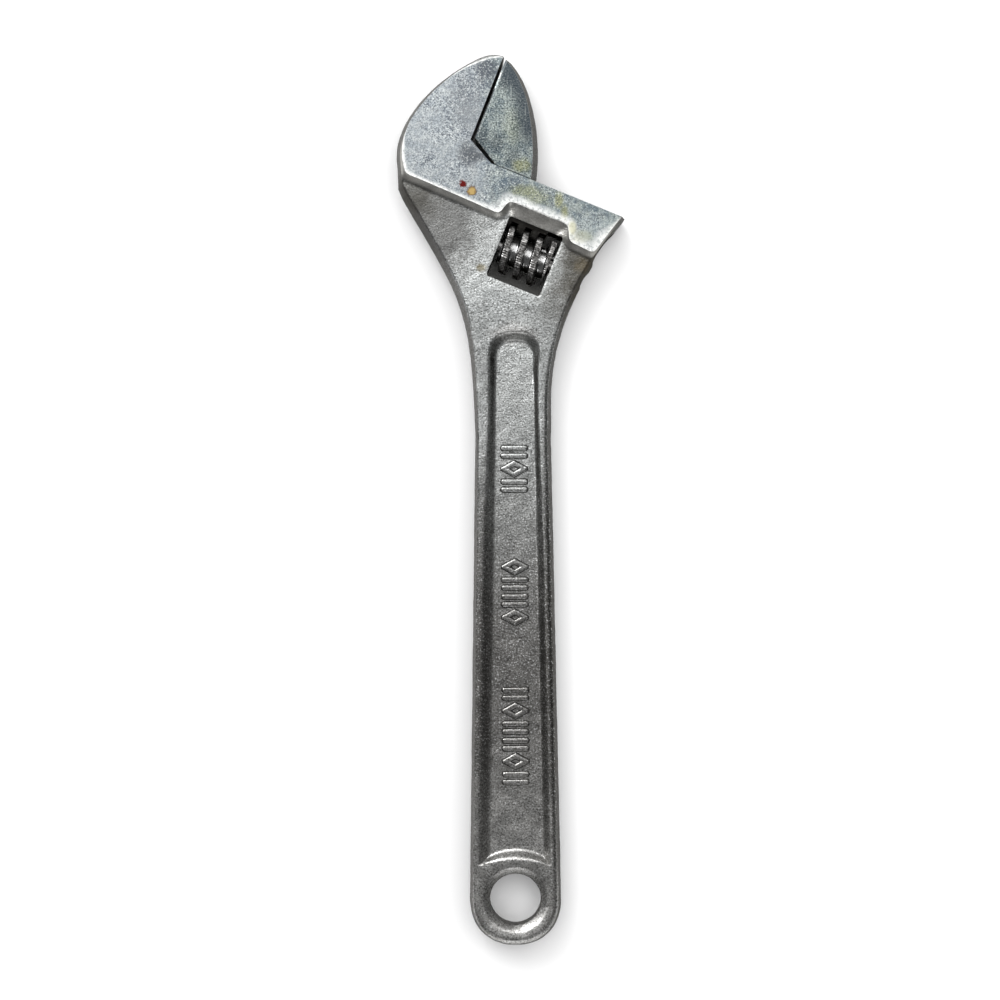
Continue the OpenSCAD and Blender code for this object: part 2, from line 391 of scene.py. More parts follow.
def forged_height(x, y):
    """Height of the forged surface over the parting plane, before the faces are ground."""
    top = RAIL_Z + (NECK_Z - RAIL_Z) * ramp(y, 165, 208)
    r = np.hypot(x, y)
    # The panel's wall is steepest at the right, and gentler down the handle
    sides = ramp(y, 190, 178) * (0.6 * ramp(x, 0, 3) - 0.15 * ramp(x, 0, -3))
    wall_slope = (1.45 + sides) * (1 - 0.36 * ramp(y, 185, 110))
    floor = PANEL_Z + wall_slope * panel_outline(x, y)
    # The panel ends in a curved slope above the eye, from its foot down to its brow
    spread = np.minimum(x * x, 140)
    foot, brow = 16.7 - spread / 38, 14.3 - spread / 60
    end_slope = PANEL_Z + (RAIL_Z - PANEL_Z) * (foot - y) / (foot - brow)
    sunk = blend_max(blend_max(floor, end_slope, 0.7), np.full_like(x, PANEL_Z), 0.7)
    top = blend_min(top, sunk, 0.8)
    bevel = (HOLE_RIM_R - r) / (HOLE_RIM_R - HOLE_R)
    bevel = RAIL_Z - np.where(bevel > 0, 2.2 * np.abs(bevel) ** 1.6, bevel)
    top = blend_min(top, bevel, 0.4)
    u, v = to_head(x, y)
    over_window = ramp(u, 3.5, 6.0) * ramp(u, 27.0, 24.0) * ramp(v, -16, -14)
    boss = GROUND_Z - (1.05 - 0.63 * over_window) * ground_outline(x, y)
    return blend_max(top, np.minimum(boss, GROUND_Z + 1), 1.5)


broad_bumps = Bumps(9.0, 1)
small_bumps = Bumps(2.6, 2)


def unevenness(x, y, z):
    """Slight waviness of a forged surface."""
    return 0.06 * broad_bumps(x, y, z) + 0.05 * small_bumps(x, y, z)


def body_field(x, y, z):
    """The body: a drafted forging, ground flat, with the machined throat, slot, bore and window."""
    u, v = to_head(x, y)
    thick = np.abs(z)
    draft = 0.19 + 0.09 * ramp(y, 150, 225) * ramp(y, 250, 238) * ramp(x, -5, -15)
    draft = draft - 0.1 * ramp(x, -25, -6) * ramp(y, 272, 284)
    edge = 0.7 + 1.2 * np.maximum(ramp(y, 12, -6), 0.8 * ramp(x, 3, 8) * ramp(y, 195, 165))
    forging = round_max(forged_outline(x, y) + draft * thick, thick - forged_height(x, y), edge)
    forging = forging + unevenness(x, y, z)
    solid = np.maximum(forging, thick - GROUND_Z)
    face = (u - THROAT[0]) * math.cos(FACE_LEAN) + (v - THROAT[1]) * math.sin(FACE_LEAN)
    facet_angle = math.atan2(THROAT[1], FACET_U - THROAT[0])
    facet = (u - FACET_U) * math.sin(facet_angle) + v * math.cos(facet_angle)
    solid = np.maximum(solid, np.minimum(np.minimum(face, facet), v))
    solid = round_max(solid, HOLE_R - np.hypot(x, y), 0.3)
    solid = np.maximum(solid, machined_cuts(u, v, z))
    return round_max(solid, -window_outline(u, v) + 0.4 * unevenness(x, y, z), 0.35)


def machined_cuts(u, v, z):
    """Positive inside the rack's bore, the web's slot and the pin's seat."""
    bore = np.minimum(RACK_R + RACK_FIT - np.hypot(v - RACK_V, z), u - BORE_END_U)
    slot = np.minimum(np.minimum(WEB_HALF_T + WEB_FIT - np.abs(z), u - SLOT_END_U), v - RACK_V)
    from_pin = np.hypot(v - SCREW_V, z)
    pin = np.minimum(PIN_R + PIN_FIT - from_pin, u - PIN_U[0])
    pin_head = np.minimum(PIN_HEAD_R + PIN_FIT - from_pin, u - PIN_U[1] + PIN_HEAD_L)
    return np.maximum(np.maximum(bore, slot), np.maximum(pin, pin_head))


def window_outline(u, v):
    """Distance outside the screw's window, with its corners rounded."""
    mid_v = WINDOW_TOP_V - WINDOW_H / 2
    return round_max(np.abs(u - SCREW_U) - WINDOW_HALF_W, np.abs(v - mid_v) - WINDOW_H / 2, 0.8)


def make_body():
    """The forged body with its fixed jaw."""
    fine = 0.5
    handle = steps(22, 168, 2.0 * fine)
    along = np.concatenate([steps(-18, 22, fine)[:-1], handle[:-1], steps(168, 290.5, fine)])
    return surface_of(body_field, steps(-42, 44, fine), along, steps(-9.6, 9.6, fine * 0.96))


# The finishes that one mesh can have, in the order of its material slots
FORGED, GROUND, MACHINED = range(3)


def body_finish(centre, normal):
    """Which finish each face of the body has."""
    x, y, z = centre.T
    u, v = to_head(x, y)
    finish = np.full(len(centre), FORGED)
    flat = (np.abs(z) > GROUND_Z - 0.08) & (np.abs(normal[:, 2]) > 0.97)
    in_throat = (u > THROAT[0] - 0.1) & (v > -0.1) & (np.abs(normal[:, 2]) < 0.5)
    finish[flat | in_throat] = GROUND
    in_window = (window_outline(u, v) < 0.25) & (np.abs(z) < NECK_Z - 0.35)
    finish[(machined_cuts(u, v, z) > -0.12) | in_window] = MACHINED
    return finish


def body_rim(x, y, z):
    """Millimetres in from the lip of the ground face, counted faster where the bright lip is narrow."""
    u, v = to_head(x, y)
    return -ground_outline(x, y) * (1 + 2.0 * ramp(u, 0, -8) + 4.0 * ramp(v, -8, 2))


def body_inset(x, y, z):
    """Millimetres in from the forging's outline at its parting plane."""
    return -forged_outline(x, y)


def body_boss(x, y, z):
    """1 on the slope between the neck and the ground boss, 0 elsewhere."""
    v = to_head(x, y)[1]
    height = np.abs(z)
    on_slope = ramp(height, NECK_Z + 0.05, NECK_Z + 0.4) * ramp(height, GROUND_Z, GROUND_Z - 0.15)
    return on_slope * ramp(v, -2, -8)


def jaw_finish(centre, normal):
    """Which finish each face of the movable jaw has."""
    v = to_head(centre[:, 0], centre[:, 1])[1]
    nu = COS_A * normal[:, 0] - SIN_A * normal[:, 1]
    nv = SIN_A * normal[:, 0] + COS_A * normal[:, 1]
    finish = np.full(len(centre), FORGED)
    flat = np.abs(normal[:, 2]) > 0.97
    worked = (nu < -0.35) | (nv < -0.5)
    finish[flat | worked] = GROUND
    finish[v < 0] = MACHINED
    return finish


def jaw_rim(x, y, z):
    """Millimetres in from the movable jaw's back edge, on its ground face."""
    u, v = to_head(x, y)
    return -jaw_outline(u, v) - 1.5 - 0.5 * ramp(v, 34, 3)


def jaw_edge(x, y, z):
    """Millimetres in from the ground side's edge at the movable jaw's face or foot, large elsewhere."""
    u, v = to_head(x, y)
    face, facet = jaw_cuts(u, v)
    elsewhere = ramp(facet, -1.6, -0.8) + ramp(GROUND_Z - np.abs(z), 0.3, 0.8)
    return np.minimum(-face, v - SLIDE_FIT) + 3 * elsewhere


def screw_crest(x, y, z):
    """0 at the root of the screw's thread, 1 on its crest."""
    v = to_head(x, y)[1]
    return (np.hypot(v - SCREW_V, z) - SCREW_ROOT_R) / (SCREW_R - SCREW_ROOT_R)


def set_finish(piece, finish_of):
    """Gives each face of a piece its material slot."""
    mesh = piece.data
    count = len(mesh.polygons)
    centre, normal = np.empty(count * 3), np.empty(count * 3)
    mesh.polygons.foreach_get("center", centre)
    mesh.polygons.foreach_get("normal", normal)
    finish = finish_of(centre.reshape(-1, 3) / MM, normal.reshape(-1, 3))
    mesh.polygons.foreach_set("material_index", finish.astype(np.int32))


def set_measure(piece, name, measure):
    """Stores a number at each point of a mesh for its material to read."""
    mesh = piece.data
    place = np.empty(len(mesh.vertices) * 3)
    mesh.vertices.foreach_get("co", place)
    values = measure(*(place.reshape(-1, 3) / MM).T)
    mesh.attributes.new(name, "FLOAT", "POINT").data.foreach_set("value", values.astype(np.float32))


def set_flank(piece):
    """Stores 1 where a piece's surface is steep, as on the forging's flanks, and 0 where it's flat."""
    mesh = piece.data
    normal = np.empty(len(mesh.vertices) * 3)
    mesh.vertices.foreach_get("normal", normal)
    values = ramp(np.abs(normal[2::3]), 0.75, 0.35)
    mesh.attributes.new("flank", "FLOAT", "POINT").data.foreach_set("value", values.astype(np.float32))


# ---------------------------------------------------------------- raised marks on the panel
MARK_MID_X = 0.3
MARK_HALF_X = 3.7
MARK_STROKE = 0.7        # half of a stroke's width at its top
MARK_H = 0.75
BAR_Q = 1.35             # a pair of bars, each this far from the pair's middle
LOZENGE = (3.5, 1.9)     # half a lozenge's width across the handle and along it
# Lowest point of each row of marks, and its marks from there up
MARK_ROWS = ((41.3, ("bars", "lozenge", "bars", "bars", "lozenge", "bars")),
             (96.2, ("lozenge", "bars", "bars", "lozenge")),
             (141.2, ("bars", "lozenge", "bars")))
MARK_STEP = 5.75


def mark_distance(kind, p, q):
    """Distance to the middle of a mark's strokes, p across the handle and q along it."""
    if kind == "bars":
        return np.hypot(np.maximum(np.abs(p) - MARK_HALF_X, 0), np.abs(q) - BAR_Q)
    half_p, half_q = LOZENGE
    scale = half_p * half_q / math.hypot(half_p, half_q)
    outline = np.abs((np.abs(p) / half_p + np.abs(q) / half_q - 1) * scale)
    return np.maximum(outline, np.abs(p) - MARK_HALF_X)


def marks_field(x, y, z):
    """Plain raised bars and lozenges in three rows along the panel."""
    nearest = np.full_like(x, 9.0)
    for low, kinds in MARK_ROWS:
        for i, kind in enumerate(kinds):
            nearest = np.minimum(nearest, mark_distance(kind, x - MARK_MID_X, y - low - i * MARK_STEP))
    top = PANEL_Z + MARK_H + 0.5 * unevenness(x, y, z)
    side = nearest - MARK_STROKE - 0.55 * (top - z)
    return np.maximum(round_max(side, z - top, 0.35), PANEL_Z - 0.35 - z)


def make_marks():
    """The raised marks, from just under the panel's surface."""
    fine = 0.22
    high = steps(PANEL_Z - 0.5, PANEL_Z + 1.0, fine)
    return surface_of(marks_field, steps(-5.2, 5.8, fine), steps(37, 158, fine), high)


# ---------------------------------------------------------------- movable jaw
movable_back = bezier((JAW_FOOT_U[1], SLIDE_FIT), (5.9, 13.0), (-3.5, 29.5), (-14.2, JAW_TIP_V))
# The outline runs on past the jaw's face, tip and foot, which are cut afterwards
jaw_outline = Outline(np.concatenate([
    [(10.2, -5.5)], movable_back, [(-26.1, 40.9), (-30.0, 40.0), (-30.0, -5.5)]]), (-28, -4), (16, 40))


def jaw_cuts(u, v):
    """Distances outside the jaw's face and outside the facet below it."""
    face_u = THROAT[0] + JAW_GAP / math.cos(FACE_LEAN)
    face = (face_u - u) * math.cos(FACE_LEAN) - (v - THROAT[1]) * math.sin(FACE_LEAN)
    corner_u = face_u - (JAW_CORNER_V - THROAT[1]) * math.tan(FACE_LEAN)
    facet_angle = math.atan2(JAW_CORNER_V - SLIDE_FIT, JAW_FOOT_U[0] - corner_u)
    facet = -(u - JAW_FOOT_U[0]) * math.sin(facet_angle) - (v - SLIDE_FIT) * math.cos(facet_angle)
    return face, facet


def jaw_field(u, v, z):
    """The jaw with its web and rack, along u, v and z."""
    thick = np.abs(z)
    inset = 1.5 + 0.5 * ramp(v, 34, 3)
    solid = jaw_outline(u, v) + inset * (thick / GROUND_Z) ** 1.4 + 0.7 * unevenness(u, v, z)
    solid = np.maximum(solid, thick - GROUND_Z)
    face, facet = jaw_cuts(u, v)
    cuts = np.maximum(np.maximum(face, facet), np.maximum(SLIDE_FIT - v, v - JAW_TIP_V))
    solid = round_max(solid, cuts, 0.28)
    return np.minimum(np.minimum(solid, web_field(u, v, z)), rack_field(u, v, z))


def web_field(u, v, z):
    """The flat web between the jaw and its rack."""
    top = np.where(u > JAW_FOOT_U[0] + 1, 0.4, 0.0)
    ends = np.abs(u - sum(WEB_U) / 2) - (WEB_U[1] - WEB_U[0]) / 2
    return np.maximum(np.maximum(np.abs(z) - WEB_HALF_T, ends), np.maximum(v - top, RACK_V - v))


def rack_field(u, v, z):
    """The round rack, with slanted gaps between its teeth for the screw's thread."""
    rack = np.hypot(v - RACK_V, z) - RACK_R
    ends = np.abs(u - sum(RACK_U) / 2) - (RACK_U[1] - RACK_U[0]) / 2
    rack = np.maximum(np.maximum(rack, ends), 0.707 * (rack + ends + 0.6))
    lean = math.atan(PITCH / (math.pi * (SCREW_R + SCREW_ROOT_R)))
    first = SCREW_U + THREAD_PHASE - PITCH / 4
    across = (u - first) * math.cos(lean) - z * math.sin(lean)
    period = PITCH * math.cos(lean)
    nearest = np.round(across / period)
    from_gap = np.abs(across - period * nearest) - RACK_GAP_W / 2
    in_row = np.abs(nearest + 2) <= 4
    gap = np.where(in_row, np.maximum(from_gap, v - RACK_ROOT_V), 1.0)
    return round_max(rack, -gap, 0.15)


def make_jaw():
    """The movable jaw in one forging with its web and rack."""
    fine = 0.4
    high = steps(-9.6, 9.6, fine * 0.98)
    vertices, quads = surface_of(jaw_field, steps(-20, 22, fine), steps(-21, 37, fine), high)
    return head_to_world(vertices), quads


# ---------------------------------------------------------------- screw, pin and spring
def screw_field(u, v, z):
    """The adjusting screw, along u from its middle and around its axis."""
    r = np.hypot(v, z)
    turn = np.arctan2(z, v) / (2 * math.pi) - 0.25
    shift = (u - THREAD_PHASE) / PITCH - turn
    across = np.abs(shift - np.round(shift)) * PITCH
    flank = across - CREST_W / 2 - 0.12 * (SCREW_R - r)
    knurl = KNURL_DEPTH * (0.5 - 0.5 * np.cos(KNURLS * np.arctan2(z, v)))
    thread = round_max(flank, r - SCREW_R + knurl, 0.25)
    solid = round_min(thread, r - SCREW_ROOT_R, 0.5)
    solid = round_max(solid, np.abs(u) - SCREW_L / 2, 0.2)
    solid = round_max(solid, PIN_R + PIN_FIT - r, 0.15)
    counterbore = np.minimum(SPRING_BORE_R - r, u - SCREW_L / 2 + SPRING_BORE_L)
    return round_max(solid, counterbore, 0.15)


def make_screw():
    """The knurled adjusting screw."""
    fine = 0.2
    vertices, quads = surface_of(screw_field, steps(-9.2, 9.2, fine), steps(-9, 9, fine), steps(-9, 9, fine))
    return head_to_world(vertices + np.array([SCREW_U, SCREW_V, 0.0])), quads


def pin_field(u, v, z):
    """The pin with its threaded, slotted end."""
    r = np.hypot(v, z)
    shaft = np.maximum(r - PIN_R, np.maximum(PIN_U[0] - u, u - PIN_U[1]))
    shaft = np.maximum(shaft, 0.707 * (r - PIN_R + PIN_U[0] - u + 0.6))
    middle = PIN_U[1] - PIN_HEAD_L / 2
    head = np.maximum(r - PIN_HEAD_R, np.abs(u - middle) - PIN_HEAD_L / 2)
    head = np.maximum(head, 0.707 * (r - PIN_HEAD_R + np.abs(u - middle) - PIN_HEAD_L / 2 + 0.4))
    slot = np.minimum(0.5 - np.abs(z), u - PIN_U[1] + 1.2)
    return np.maximum(np.minimum(shaft, head), slot)


def make_pin():
    """The pin that the screw turns on."""
    across = steps(-3.4, 3.4, 0.2)
    vertices, quads = surface_of(pin_field, steps(-2.2, 36.8, 0.3), across, across)
    return head_to_world(vertices + np.array([0.0, SCREW_V, 0.0])), quads


def make_spring():
    """The coil spring between the screw's counterbore and the window's right wall."""
    start = SCREW_U + SCREW_L / 2 - SPRING_BORE_L + SPRING_WIRE_R + 0.05
    end = SCREW_U + WINDOW_HALF_W - SPRING_WIRE_R - 0.05
    rings, sides = 48 * SPRING_TURNS, 12
    turn = np.linspace(0, 2 * math.pi * SPRING_TURNS, rings + 1)[:, None]
    around = np.linspace(0, 2 * math.pi, sides, endpoint=False)[None, :]
    r = SPRING_R + SPRING_WIRE_R * np.cos(around)
    u = start + (end - start) * turn / turn[-1, 0] + SPRING_WIRE_R * np.sin(around)
    vertices = np.stack([u, SCREW_V + r * np.cos(turn), r * np.sin(turn)], axis=2).reshape(-1, 3)
    faces = []
    for i in range(rings):
        for k in range(sides):
            a, b = sides * i + k, sides * i + (k + 1) % sides
            faces.append((a, b, b + sides, a + sides))
    faces.append(tuple(range(sides - 1, -1, -1)))
    faces.append(tuple(sides * rings + k for k in range(sides)))
    return head_to_world(vertices), faces


# ---------------------------------------------------------------- materials
class Shader:
    """One material's node tree, with sizes and places in millimetres of the CAD frame."""

    def __init__(self, name, metallic=1.0):
        self.material = bpy.data.materials.new(name)
        self.material.use_nodes = True
        self.nodes = self.material.node_tree.nodes
        self.links = self.material.node_tree.links
        self.surface = self.nodes["Principled BSDF"]
        self.surface.inputs["Metallic"].default_value = metallic
        self.place = self.nodes.new("ShaderNodeTexCoord").outputs["Object"]

    def feed(self, socket, value):
        """Links a socket, or sets it when the value is a plain number or colour."""
        if hasattr(value, "links"):
            self.links.new(value, socket)
        elif isinstance(value, tuple) and len(value) == 3 and len(socket.default_value) == 4:
            socket.default_value = (*value, 1)
        else:
            socket.default_value = value

    def noise(self, size, detail=2.0, roughness=0.5, stretch=(1, 1, 1), shift=0.0):
        """Noise from 0 to 1 with features of about a size, longer along a stretched axis."""
        mapping = self.nodes.new("ShaderNodeMapping")
        self.feed(mapping.inputs["Vector"], self.place)
        mapping.inputs["Scale"].default_value = [1000 / (size * k) for k in stretch]
        mapping.inputs["Location"].default_value = (shift, 0.7 * shift, 0.3 * shift)
        node = self.nodes.new("ShaderNodeTexNoise")
        self.feed(node.inputs["Vector"], mapping.outputs[0])
        node.inputs["Scale"].default_value = 1.0
        node.inputs["Detail"].default_value = detail
        node.inputs["Roughness"].default_value = roughness
        return node.outputs[0]

    def ramp(self, value, start, end, low=0.0, high=1.0):
        """Goes smoothly from low to high as the value goes from start to end."""
        node = self.nodes.new("ShaderNodeMapRange")
        node.interpolation_type = "SMOOTHSTEP"
        for name, number in (("Value", value), ("From Min", start), ("From Max", end),
                             ("To Min", low), ("To Max", high)):
            self.feed(node.inputs[name], number)
        return node.outputs[0]

    def maths(self, operation, a, b):
        """One step of arithmetic on two values."""
        node = self.nodes.new("ShaderNodeMath")
        node.operation = operation
        self.feed(node.inputs[0], a)
        self.feed(node.inputs[1], b)
        return node.outputs[0]

    def mix(self, factor, a, b):
        """Colour a where the factor is 0, b where it is 1."""
        node = self.nodes.new("ShaderNodeMix")
        node.data_type = "RGBA"
        self.feed(node.inputs["Factor"], factor)
        self.feed(node.inputs["A"], a)
        self.feed(node.inputs["B"], b)
        return node.outputs["Result"]

    def measure(self, name):
        """A number stored at the mesh's points."""
        node = self.nodes.new("ShaderNodeAttribute")
        node.attribute_name = name
        return node.outputs["Fac"]

    def axis(self, name):
        """One coordinate, in metres."""
        node = self.nodes.new("ShaderNodeSeparateXYZ")
        self.feed(node.inputs[0], self.place)
        return node.outputs[name]

    def near(self, place, radius, ragged=0.5, size=2.0, stretch=(1, 1, 1), soft=0.45):
        """1 around a place in millimetres, fading to 0 at a ragged radius."""
        apart = self.nodes.new("ShaderNodeVectorMath")
        apart.operation = "SUBTRACT"
        self.feed(apart.inputs[0], self.place)
        apart.inputs[1].default_value = [p * MM for p in place]
        scaled = self.nodes.new("ShaderNodeVectorMath")
        scaled.operation = "MULTIPLY"
        self.feed(scaled.inputs[0], apart.outputs[0])
        scaled.inputs[1].default_value = [1000 / (radius * k) for k in stretch]
        length = self.nodes.new("ShaderNodeVectorMath")
        length.operation = "LENGTH"
        self.feed(length.inputs[0], scaled.outputs[0])
        wander = self.maths("MULTIPLY", self.noise(size, 3.0, 0.6, shift=place[0]), 2 * ragged)
        reach = self.maths("ADD", length.outputs["Value"], wander)
        return self.ramp(reach, 0.8 + ragged + soft, 0.8 + ragged - soft)

    def bump(self, height, depth, strength=1.0, under=None):
        """Bump of a depth in millimetres, over another bump if one is given."""
        node = self.nodes.new("ShaderNodeBump")
        node.inputs["Distance"].default_value = depth * MM
        node.inputs["Strength"].default_value = strength
        self.feed(node.inputs["Height"], height)
        if under is not None:
            self.feed(node.inputs["Normal"], under)
        return node.outputs[0]

    def finish(self, colour, roughness, normal=None):
        """Puts the colour, roughness and bump on the surface, and returns the material."""
        self.feed(self.surface.inputs["Base Color"], colour)
        self.feed(self.surface.inputs["Roughness"], roughness)
        if normal is not None:
            self.feed(self.surface.inputs["Normal"], normal)
        return self.material


def lay_discolouring_and_painted_light(m, colour, patches, size=2.0):
    """Lays patches over a colour, some of them discolouring, some painted light and some painted shade: each
    is (place, radius, stretch, amount, its colour).
    """
    for place, radius, stretch, amount, patch_colour in patches:
        cover = m.maths("MULTIPLY", m.near(place, radius, stretch=stretch, size=size), amount)
        colour = m.mix(cover, colour, patch_colour)
    return colour


def forged_material():
    """Shot-blasted forging: grey and grainy, darker on its flanks and down the handle; that darkening and
    several patches on the head, neck and panel are painted light and painted shade.
    """
    m = Shader("forged_steel")
    y = m.axis("Y")
    # Painted shade: darker and warmer down the handle, standing for light that falls off away from the head
    shade_down_handle = m.ramp(y, 0.185, 0.08)
    cool = m.mix(m.noise(14, 3), (0.42, 0.44, 0.44), (0.52, 0.53, 0.52))
    warm = m.mix(m.noise(11, 3), (0.205, 0.199, 0.191), (0.27, 0.265, 0.256))
    colour = m.mix(shade_down_handle, cool, warm)
    colour = m.mix(m.ramp(y, 0.075, -0.005), colour, (0.54, 0.535, 0.52))
    # Painted light: lighter patches on the panel's upper end wall and in the notch above the window, for
    # light from the front that these slopes face
    colour = lay_discolouring_and_painted_light(m, colour, (((0.6, 192.8, 6.5), 8.0, (1.1, 0.5, 1), 0.7, (0.75, 0.74, 0.72)),
                                 ((8.5, 231.8, 8.0), 8.0, (1.5, 0.8, 1), 0.6, (0.62, 0.61, 0.58))), size=6.0)
    flank = m.measure("flank")
    # Painted shade: a darker band along the outer edges of the rails down the handle
    from_middle = m.maths("ABSOLUTE", m.axis("X"), 0.0)
    rail = m.maths("MULTIPLY", m.ramp(from_middle, 0.0085, 0.0098), m.ramp(y, 0.165, 0.13))
    rail = m.maths("MULTIPLY", rail, m.ramp(y, 0.02, 0.07, 0.2, 0.45))
    colour = m.mix(rail, colour, (0.09, 0.087, 0.08))
    # Painted light and shade: the flanks are darker overall, for the dark surroundings they would reflect,
    # and lighter where they face left, towards the key light
    steep = m.mix(m.ramp(m.axis("X"), 0.005, -0.01), (0.16, 0.157, 0.15), (0.21, 0.206, 0.198))
    # Painted shadow: the panel's walls are near black, the left wall most, where the key light leaves them
    # in shadow
    in_panel = m.maths("MULTIPLY", m.ramp(from_middle, 0.0125, 0.0115), m.ramp(y, 0.19, 0.183))
    in_panel = m.maths("MULTIPLY", in_panel, m.ramp(y, 0.012, 0.018))
    in_panel = m.maths("MULTIPLY", in_panel, m.ramp(m.axis("X"), 0.003, -0.003, 0.3, 1.0))
    steep = m.mix(in_panel, steep, (0.022, 0.021, 0.018))
    steepness = m.maths("MULTIPLY", flank, m.maths("ADD", 0.95, m.maths("MULTIPLY", in_panel, 1.6)))
    colour = m.mix(steepness, colour, steep)
    # Painted shade: a dark band just inside the outline on the right side of the handle and neck, the side
    # away from the key light
    shoulder = m.maths("MULTIPLY", m.ramp(m.measure("inset"), 2.8, 2.0), m.ramp(m.axis("X"), 0.0085, 0.0105))
    shoulder = m.maths("MULTIPLY", shoulder, m.ramp(y, 0.205, 0.18, 0.0, 0.5))
    shoulder = m.maths("MULTIPLY", shoulder, m.ramp(y, -0.004, 0.016))
    shoulder = m.maths("MULTIPLY", shoulder, m.ramp(flank, 0.6, 1.0, 1.0, 0.0))
    colour = m.mix(shoulder, colour, (0.04, 0.038, 0.032))
    grain = m.noise(0.6, 2.0, 0.75)
    colour = m.mix(m.ramp(grain, 0.52, 0.34, 0.0, 0.75), colour, (0.07, 0.068, 0.062))
    sparkle = m.ramp(grain, 0.56, 0.69, 0.0, 0.8)
    sparkle = m.maths("MULTIPLY", sparkle, m.ramp(flank, 0.0, 1.0, 1.0, 0.25))
    colour = m.mix(sparkle, colour, (0.9, 0.91, 0.91))
    # Painted shade: dark patches on the neck's left corner, beside the head's left boss and on the neck's
    # right side
    painted_shade_umber = (0.07, 0.064, 0.052)
    colour = lay_discolouring_and_painted_light(m, colour, (((-25.0, 231.0, 7.1), 18.0, (1, 1, 1), 0.8, (0.1, 0.098, 0.094)),
                                 ((-34.0, 240.0, 7.5), 10.0, (1, 1, 1), 0.8, (0.075, 0.072, 0.064)),
                                 ((25.5, 213.0, 7.1), 12.5, (1, 1.6, 1), 0.88, painted_shade_umber),
                                 ((15.0, 203.0, 7.1), 7.0, (1, 1.4, 1), 0.4, painted_shade_umber)), size=5.0)
    # Painted light: the slope from the neck up to the ground boss is lighter, for the light from the front
    # that it faces
    colour = m.mix(m.maths("MULTIPLY", m.measure("boss"), 0.75), colour, (0.52, 0.51, 0.48))
    colour = lay_discolouring_and_painted_light(m, colour, (((-10.4, 215.4, 7.1), 1.6, (1.4, 1, 1), 0.7, (0.15, 0.122, 0.055)),
                                 ((24.0, 216.0, 7.0), 3.4, (1, 1, 1), 0.3, (0.16, 0.12, 0.055))))
    pits = m.bump(m.noise(1.5, 2.0), 0.05)
    fine = m.bump(grain, 0.1, under=pits)
    roughness = m.maths("ADD", m.ramp(m.noise(5, 2), 0.3, 0.7, 0.34, 0.44), m.maths("MULTIPLY", flank, 0.2))
    # Scale and grime keep a forging from shining at a glancing angle
    m.surface.inputs["Specular Tint"].default_value = (0.4, 0.4, 0.4, 1)
    return m.finish(colour, roughness, fine)


